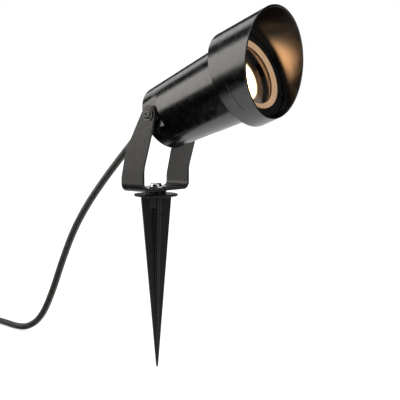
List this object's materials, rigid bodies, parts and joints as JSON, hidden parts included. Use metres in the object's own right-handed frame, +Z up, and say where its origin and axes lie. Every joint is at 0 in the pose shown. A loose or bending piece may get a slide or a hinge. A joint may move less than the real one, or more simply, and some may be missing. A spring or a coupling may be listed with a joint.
{
  "type": "garden spike spotlight",
  "caption": "Outdoor spotlight on a ground spike: a tapered round head with a slanted hood tilts in a U-bracket that swivels on the spike, with a mains cord and plug.",
  "frame": {"origin": "centre of the underside of the spike's flange, on the spike's axis, where the spike enters the ground", "axes": "+Z up along the spike's axis, +X the way the beam points, +Y along the tilt axis"},
  "size_m": [0.469, 0.1309, 0.3179],
  "materials": {
    "spike_nylon": "moulded nylon, fine matt",
    "brass": "turned",
    "bright_zinc": "bright zinc plate",
    "bracket_paint": "matt powder coat on steel",
    "pivot_steel": "matt black coat",
    "fibre_disc": "fibre",
    "body_paint": "satin black coat on cast and spun aluminium",
    "gasket_silicone": "translucent beige silicone",
    "clear_glass": "clear, polished edge",
    "ring_black": "matt black anodise",
    "lamp_shell": "white",
    "lamp_lens": "frosted, lit",
    "plated_pin": "nickel plate",
    "steatite": "glazed ceramic",
    "plain_steel": "zinc plate",
    "tinned_lug": "tinned copper",
    "gland_nylon": "moulded nylon",
    "boot_rubber": "matt",
    "cord_rubber": "matt rubber sheath",
    "lead_brown": "insulation",
    "lead_blue": "insulation",
    "lead_green_yellow": "insulation",
    "tie_plastic": "coated wire tie",
    "plug_rubber": "moulded rubber"
  },
  "bodies": {
    "spike": {"ground_spike": "spike_nylon", "spike_insert": "brass", "swivel_screw": "bright_zinc", "swivel_washer": "bright_zinc"},
    "bracket": {"u_bracket": "bracket_paint", "cord": "cord_rubber", "cord_coil": "cord_rubber", "cord_tail": "cord_rubber", "coil_tie": "tie_plastic", "plug_body": "plug_rubber", "plug_pins": "plated_pin", "plug_earth_clips": "plated_pin"},
    "head": {"pivot_screws": "pivot_steel", "pivot_cup_washers": "pivot_steel", "friction_discs": "fibre_disc", "housing": "body_paint", "hood": "body_paint", "glass_gasket": "gasket_silicone", "front_glass": "clear_glass", "retaining_ring": "ring_black", "ring_screws": "ring_black", "lamp_body": "lamp_shell", "lamp_lens": "lamp_lens", "lamp_pins": "plated_pin", "lampholder": "steatite", "holder_plate": "plain_steel", "holder_screws": "plain_steel", "earth_lug": "tinned_lug", "earth_screw": "brass", "gland_body": "gland_nylon", "gland_nut": "gland_nylon", "gland_locknut": "gland_nylon", "cord_boot": "boot_rubber", "cord_end": "cord_rubber", "live_lead": "lead_brown", "neutral_lead": "lead_blue", "earth_lead": "lead_green_yellow"}
  },
  "joints": [
    {"name": "bracket_swivel", "type": "hinge", "parent": "spike", "child": "bracket", "pos_m": [0, 0, 0.0066], "axis": [0, 0, 1], "range_deg": [-170, 170]},
    {"name": "head_tilt", "type": "hinge", "parent": "bracket", "child": "head", "pos_m": [0.0202, 0, 0.0734], "axis": [0, -1, 0], "range_deg": [-50, 60], "deforming": ["cord"]}
  ]
}
